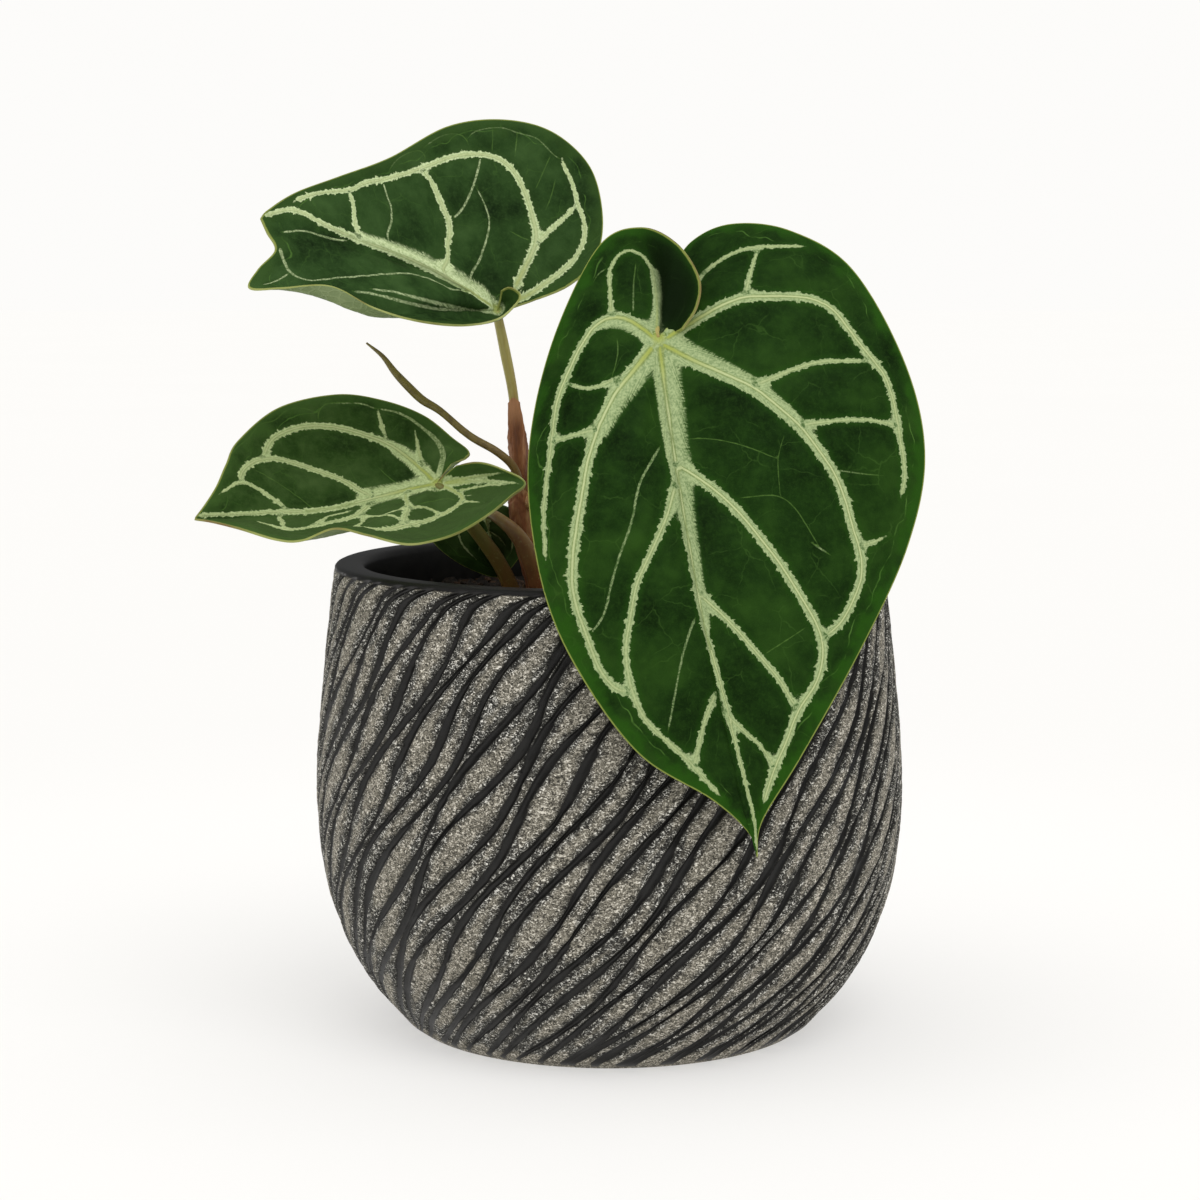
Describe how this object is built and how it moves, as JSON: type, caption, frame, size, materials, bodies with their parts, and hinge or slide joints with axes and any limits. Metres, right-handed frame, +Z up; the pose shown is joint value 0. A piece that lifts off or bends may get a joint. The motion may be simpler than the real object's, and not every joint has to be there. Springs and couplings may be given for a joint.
{
  "type": "potted silver blush anthurium",
  "caption": "Young velvet-leaved anthurium with silver veins, heart-shaped leaves on bare stalks, in potting mix in a rounded planter with slanting grooves.",
  "frame": {"origin": "centre of the planter's flat base", "axes": "+Z up along the planter's axis, +X to the right and +Y to the back as the plant is seen from its front"},
  "size_m": [0.2103, 0.1928, 0.2761],
  "materials": {
    "planter": "matte, charcoal grooves between grey speckled lands",
    "potting_mix": "loose, dark, matte",
    "crown": "rough, brown",
    "leaf_blade": "velvety dark green with pale silver-green veins",
    "petiole": "smooth, satin, olive",
    "new_leaf": "smooth, satin, olive brown",
    "sheath": "papery, satin, reddish brown"
  },
  "bodies": {
    "root": {"planter": "planter", "potting_mix": "potting_mix", "crown": "crown", "front_leaf_blade": "leaf_blade", "front_leaf_petiole": "petiole", "upper_leaf_blade": "leaf_blade", "upper_leaf_petiole": "petiole", "left_leaf_blade": "leaf_blade", "left_leaf_petiole": "petiole", "inner_leaf_blade": "leaf_blade", "inner_leaf_petiole": "petiole", "new_leaf": "new_leaf", "upper_sheath": "sheath", "lower_sheath": "sheath"}
  },
  "joints": []
}
